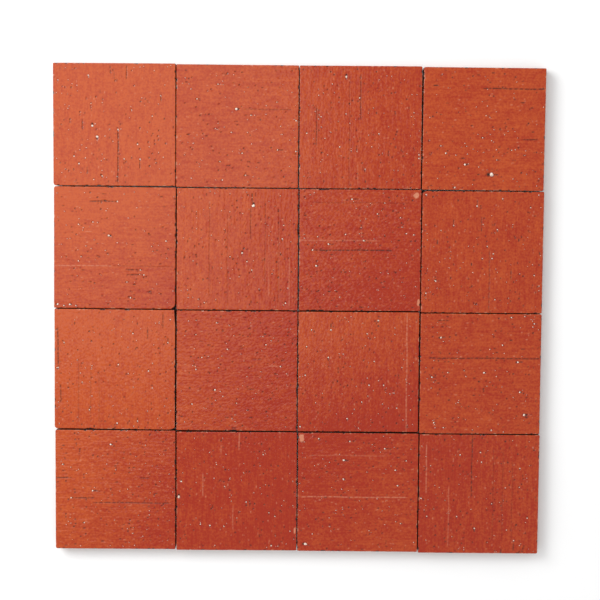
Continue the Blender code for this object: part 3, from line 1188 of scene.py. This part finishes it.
def mask(tree, name):
    node = tree.nodes.new("ShaderNodeAttribute")
    node.attribute_name = name
    return node.outputs["Fac"]


def placed_group(tree, group, vector, scale):
    node = tree.nodes.new("ShaderNodeGroup")
    node.node_tree = group
    tree.links.new(vector, node.inputs["Vector"])
    node.inputs["Scale"].default_value = scale
    return node


def object_vector(tree, stretch=(1, 1, 1)):
    place = tree.nodes.new("ShaderNodeTexCoord")
    turn = tree.nodes.new("ShaderNodeMapping")
    turn.inputs["Scale"].default_value = stretch
    tree.links.new(place.outputs["Object"], turn.inputs["Vector"])
    return turn.outputs["Vector"]


def glaze_material(tile):
    material = bpy.data.materials.new(f"glaze_{tile}")
    material.use_nodes = True
    tree = material.node_tree
    shader = tree.nodes["Principled BSDF"]
    plain = object_vector(tree)
    drag = (900, 60, 60) if MARKS[tile]["drag"] == "v" else (60, 900, 60)
    mottle = placed_group(tree, mottle_group, plain, 620.0)
    streaks = placed_group(tree, streak_group, object_vector(tree, drag), 1.0)
    # The firing map: partly how the glaze fired, partly painted sheen and painted falloff of the light
    # across the field.
    tone_and_sheen = add(tree, mask(tree, "fire_and_sheen"), times(tree, mottle.outputs["Mottle"], 0.50, -0.25))
    tone_and_sheen = add(tree, tone_and_sheen, times(tree, streaks.outputs["Streak"], 0.24, -0.12))
    colour = mix_colour(tree, tone_and_sheen, DEEP_RED, PALE_ORANGE_AND_SHEEN)
    # Painted glints on raised drag lines and flecks, and pale patches along the rim.
    colour = mix_colour(tree, times(tree, mask(tree, "glint_and_pale"), 0.8), colour, GLINT_AND_PALE_COLOUR)
    colour = mix_colour(tree, mask(tree, "thin"), colour, THIN_GLAZE)
    # Painted shade in furrows, pits, grain beds, edge bites and on the coat's rim in the joints.
    colour = mix_colour(tree, mask(tree, "recess_shade"), colour, RECESS_SHADE_COLOUR)
    tree.links.new(colour, shader.inputs["Base Color"])
    rough = times(tree, mottle.outputs["Cloud"], 0.04, 0.04)
    tree.links.new(rough, shader.inputs["Roughness"])
    shader.inputs["IOR"].default_value = GLAZE_IOR
    bump = tree.nodes.new("ShaderNodeBump")
    bump.inputs["Strength"].default_value = 0.10
    bump.inputs["Distance"].default_value = 0.0002
    tree.links.new(mottle.outputs["Mottle"], bump.inputs["Height"])
    tree.links.new(bump.outputs["Normal"], shader.inputs["Normal"])
    return material


def clay_material(name, dark, light, roughness, joint_shade_band=False):
    material = bpy.data.materials.new(name)
    material.use_nodes = True
    tree = material.node_tree
    shader = tree.nodes["Principled BSDF"]
    mottle = placed_group(tree, mottle_group, object_vector(tree), 900.0)
    colour = mix_colour(tree, mottle.outputs["Mottle"], dark, light)
    colour = mix_colour(tree, times(tree, mottle.outputs["Cloud"], 0.3), colour, light)
    # Painted shade: a dark band high on the body's sides, where the joints between tiles lie in shade.
    if joint_shade_band:
        split = tree.nodes.new("ShaderNodeSeparateXYZ")
        tree.links.new(object_vector(tree), split.inputs[0])
        run = times(tree, mottle.outputs["Cloud"], 0.004, -0.002)
        high = tree.nodes.new("ShaderNodeMapRange")
        high.inputs["From Min"].default_value = 0.0035
        high.inputs["From Max"].default_value = 0.0080
        level = tree.nodes.new("ShaderNodeMath")
        tree.links.new(split.outputs["Z"], level.inputs[0])
        tree.links.new(run, level.inputs[1])
        tree.links.new(level.outputs[0], high.inputs["Value"])
        colour = mix_colour(tree, times(tree, high.outputs["Result"], 0.9), colour, RECESS_SHADE_COLOUR)
    tree.links.new(colour, shader.inputs["Base Color"])
    shader.inputs["Roughness"].default_value = roughness
    bump = tree.nodes.new("ShaderNodeBump")
    bump.inputs["Strength"].default_value = 0.5
    bump.inputs["Distance"].default_value = 0.0003
    tree.links.new(mottle.outputs["Mottle"], bump.inputs["Height"])
    tree.links.new(bump.outputs["Normal"], shader.inputs["Normal"])
    return material


clay = clay_material("fired_clay", (0.30, 0.085, 0.036), (0.46, 0.16, 0.075), 0.88, True)
grog = clay_material("pale_grog", (0.52, 0.30, 0.20), (0.95, 0.86, 0.76), 0.8)
print("materials:", clay.name, grog.name)

# %% [markdown]
# ## Building the field
#
# One loop makes the three pieces of every tile: the face, its grains and the
# clay under them. The clay and the grog are shared by all tiles, as they
# would be in a batch, and each glaze is its own material.

# %% Build all sixteen tiles
for tile in TILES:
    relief, small, surface = make_face(tile, [glaze_material(tile), clay])
    make_grains(tile, relief, small, surface, grog)
    make_body(tile, clay)
    print(tile, "relief from", round(float(relief.height.min()), 2), "to",
          round(float(relief.height.max()), 2), "mm")

# %% [markdown]
# ## Finish
